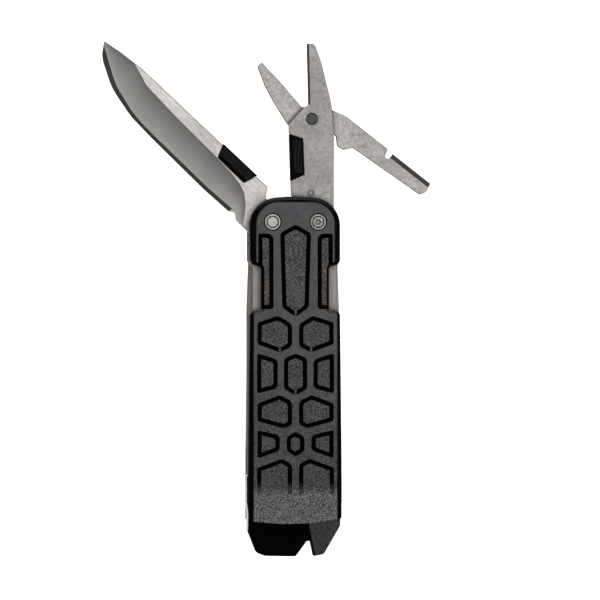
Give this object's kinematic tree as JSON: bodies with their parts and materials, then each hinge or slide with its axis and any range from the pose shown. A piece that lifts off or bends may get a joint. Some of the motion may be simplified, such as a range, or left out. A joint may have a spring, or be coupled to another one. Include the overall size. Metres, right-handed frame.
{
  "type": "multi tool",
  "caption": "Slim pocket multi tool: folding knife, sprung scissors, bottle opener and file between two honeycomb covers, with a fixed notched pry bar at the foot.",
  "frame": {"origin": "centre of the back cover's outer face: on the centreline, half way along the closed handle", "axes": "+Y from the pry bar towards the pivots, +Z out of the front cover, +X to the right seen from the front"},
  "size_m": [0.0822, 0.1285, 0.0122],
  "materials": {
    "cover": "fine grain with coarser textured islands",
    "liner_steel": "satin",
    "black_steel": "black oxide, faintly brushed",
    "pivot_steel": "turned",
    "washer_bronze": "rolled",
    "screw_black": "black oxide",
    "spacer_plastic": "moulded",
    "blade_steel": "satin flat and ground bevel",
    "tool_steel": "tumbled",
    "spring_steel": "rolled",
    "grip": "ribbed"
  },
  "bodies": {
    "handle": {"front_cover": "cover", "back_cover": "cover", "front_liner": "liner_steel", "back_liner": "liner_steel", "centre_liner": "liner_steel", "pry_bar": "black_steel", "left_pivot_barrel": "pivot_steel", "right_pivot_barrel": "pivot_steel", "left_pivot_screw": "pivot_steel", "right_pivot_screw": "pivot_steel", "pivot_washers": "washer_bronze", "scissor_bush": "pivot_steel", "stop_pins": "pivot_steel", "detent_balls": "pivot_steel", "handle_screws": "screw_black", "front_spacer": "spacer_plastic", "back_spacer": "spacer_plastic"},
    "knife": {"knife_blade": "blade_steel", "knife_pad": "grip"},
    "scissors": {"scissor_plate": "tool_steel", "scissor_pad": "grip", "scissor_pin": "screw_black", "scissor_spring": "spring_steel", "spring_rivet": "pivot_steel"},
    "scissor_lever": {"scissor_lever": "tool_steel"},
    "bottle_opener": {"bottle_opener": "tool_steel"},
    "file_tool": {"file_tool": "tool_steel"}
  },
  "joints": [
    {"name": "knife_pivot", "type": "hinge", "parent": "handle", "child": "knife", "pos_m": [-0.00568, 0.0386, 0.0045], "axis": [0, 0, 1], "range_deg": [-46.8, 133.2]},
    {"name": "scissor_pivot", "type": "hinge", "parent": "handle", "child": "scissors", "pos_m": [0.00568, 0.0386, 0.00827], "axis": [0, 0, -1], "range_deg": [0, 180]},
    {"name": "scissor_lever_pivot", "type": "hinge", "parent": "scissors", "child": "scissor_lever", "pos_m": [0.00443, 0.06438, 0.00707], "axis": [0, 0, -1], "range_deg": [0, 47], "stiffness_Nm_per_rad": 0.02, "springref_deg": -20.05, "deforming": ["scissor_spring"]},
    {"name": "opener_pivot", "type": "hinge", "parent": "handle", "child": "bottle_opener", "pos_m": [-0.00568, 0.0386, 0.00827], "axis": [0, 0, 1], "range_deg": [-180, 0]},
    {"name": "file_pivot", "type": "hinge", "parent": "handle", "child": "file_tool", "pos_m": [0.00568, 0.0386, 0.0043], "axis": [0, 0, -1], "range_deg": [-180, 0]}
  ]
}
